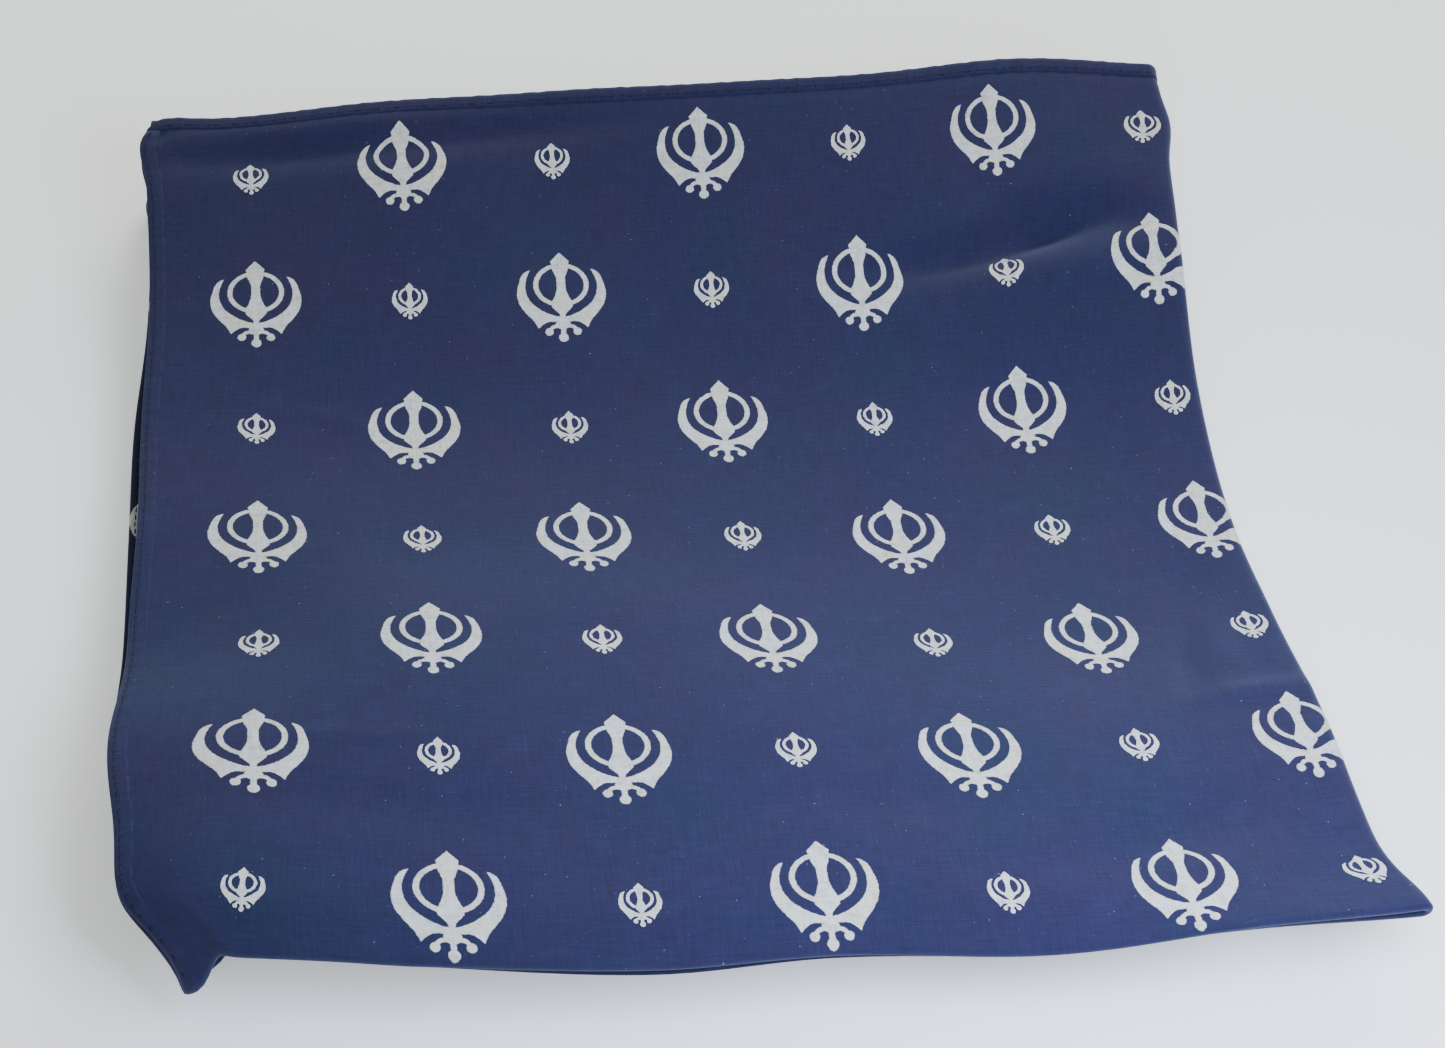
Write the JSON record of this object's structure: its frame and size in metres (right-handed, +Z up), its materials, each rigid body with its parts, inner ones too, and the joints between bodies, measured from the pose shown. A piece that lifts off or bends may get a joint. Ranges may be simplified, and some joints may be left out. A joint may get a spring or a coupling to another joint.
{
  "type": "rumal head wrap",
  "caption": "Square navy cotton rumal head wrap with a white khanda print, folded in quarters and lying loosely.",
  "frame": {"origin": "middle of the base of the folded cloth's box, at the level of its flat underside", "axes": "+Z up from the underside, +X towards the right fold, +Y towards the back hems, the front fold towards -Y"},
  "size_m": [0.349, 0.3342, 0.0486],
  "materials": {
    "navy_cotton": "matte printed plain weave",
    "navy_hem": "matte turned and stitched hem"
  },
  "bodies": {
    "root": {"cloth_upper_pair": "navy_cotton", "cloth_lower_pair": "navy_cotton", "hem_top_edge": "navy_hem", "hem_bottom_edge": "navy_hem", "hem_left_edge": "navy_hem", "hem_right_edge": "navy_hem"}
  },
  "joints": []
}
